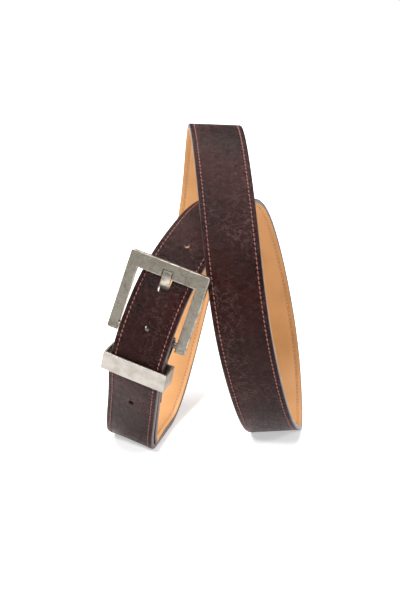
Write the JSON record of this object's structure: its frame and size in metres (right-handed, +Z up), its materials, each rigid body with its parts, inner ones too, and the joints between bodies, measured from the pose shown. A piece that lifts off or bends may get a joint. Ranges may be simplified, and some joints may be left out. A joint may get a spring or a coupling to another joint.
{
  "type": "leather belt",
  "caption": "Dress belt buckled shut and coiled in upright turns: dark leather strap, tan lining, square metal buckle with prong and a metal keeper.",
  "frame": {"origin": "on the floor under the middle of the coiled belt", "axes": "+Z up from the floor the coil stands on, +X to the right of the buckle side, -Y towards the side where the buckle shows"},
  "size_m": [0.1153, 0.1659, 0.1715],
  "materials": {
    "outer_leather": "glossy pulled-up grain, very dark brown, painted edges",
    "lining_leather": "smooth matt tan split leather",
    "core_fibre": "bonded fibre filler",
    "thread": "waxed reddish-brown thread",
    "lining_thread": "tan bobbin thread",
    "antique_nickel": "antique nickel plate on zinc alloy, mottled patina, bright worn edges",
    "brushed_nickel": "brushed nickel plate, bright rims",
    "steel_bar": "plain turned steel"
  },
  "bodies": {
    "strap": {"outer_leather": "outer_leather", "core_filler": "core_fibre", "lining_leather": "lining_leather", "top_thread_left": "thread", "bobbin_thread_left": "lining_thread", "top_thread_right": "thread", "bobbin_thread_right": "lining_thread", "chape_stitches": "thread"},
    "buckle": {"buckle_frame": "antique_nickel", "heel_bar": "steel_bar"},
    "prong": {"prong": "antique_nickel"},
    "keeper": {"keeper_loop": "brushed_nickel"}
  },
  "joints": [
    {"name": "buckle_hinge", "type": "hinge", "parent": "strap", "child": "buckle", "pos_m": [-0.03189, -0.06625, 0.07842], "axis": [0.9133, -0.309, -0.2654], "range_deg": [-0.4, 0.6]},
    {"name": "prong_hinge", "type": "hinge", "parent": "buckle", "child": "prong", "pos_m": [-0.03189, -0.06625, 0.07842], "axis": [0.9133, -0.309, -0.2654], "range_deg": [0, 0.6]},
    {"name": "keeper_slide", "type": "slide", "parent": "strap", "child": "keeper", "axis": [-0.1877, 0.1887, -0.9639], "range_m": [-0.001, 0.001]}
  ]
}
